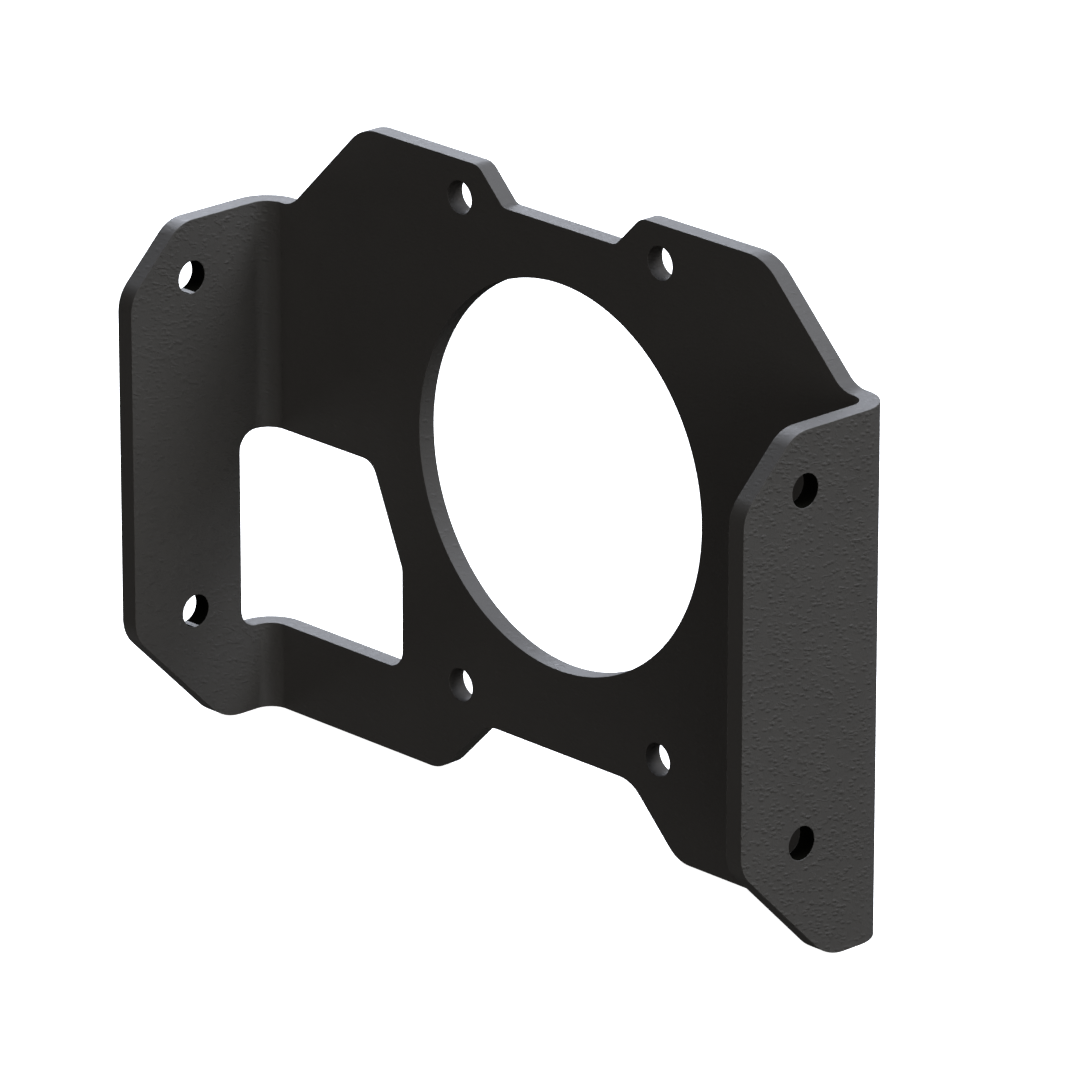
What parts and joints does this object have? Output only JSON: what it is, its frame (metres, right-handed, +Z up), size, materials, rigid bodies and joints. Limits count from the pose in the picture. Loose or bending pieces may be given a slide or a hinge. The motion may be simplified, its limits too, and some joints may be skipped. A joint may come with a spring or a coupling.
{
  "type": "wheel base adapter plate",
  "caption": "Folded steel adapter plate with a large round bore, bolt holes, an off-centre window and sloped side flanges, to carry a wheel base between uprights.",
  "frame": {"origin": "centre of the large bore, on the front face of the web", "axes": "+Z up as the plate is fixed, +X across the plate to the right as seen from the front, -Y along the bore towards the side that the flanges point to"},
  "size_m": [0.2212, 0.0505, 0.1616],
  "materials": {
    "powder_coat": "fine-textured black powder coat"
  },
  "bodies": {
    "root": {"adapter_plate": "powder_coat"}
  },
  "joints": []
}
